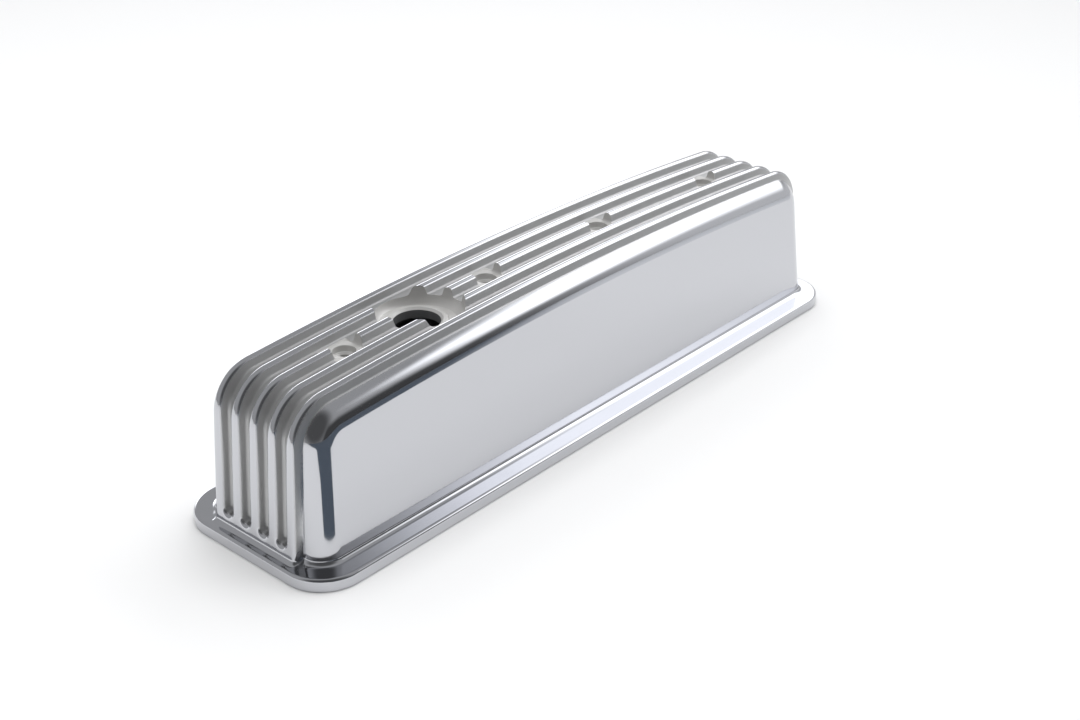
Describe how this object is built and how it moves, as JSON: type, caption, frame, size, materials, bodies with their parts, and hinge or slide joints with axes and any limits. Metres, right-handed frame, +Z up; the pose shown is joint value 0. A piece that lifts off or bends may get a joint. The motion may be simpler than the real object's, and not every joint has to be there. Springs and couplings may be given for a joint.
{
  "type": "engine valve cover",
  "caption": "Tall finned centre-bolt valve cover cast in aluminium, with a flat gasket flange, lengthwise fins, bolt pads and a breather hole.",
  "frame": {"origin": "middle of the gasket face", "axes": "+X along the cover with the breather hole on the -X half, +Y across it, +Z up from the gasket face"},
  "size_m": [0.4634, 0.1174, 0.1016],
  "materials": {
    "polished_aluminium": "polished"
  },
  "bodies": {
    "root": {"valve_cover_casting": "polished_aluminium"}
  },
  "joints": []
}
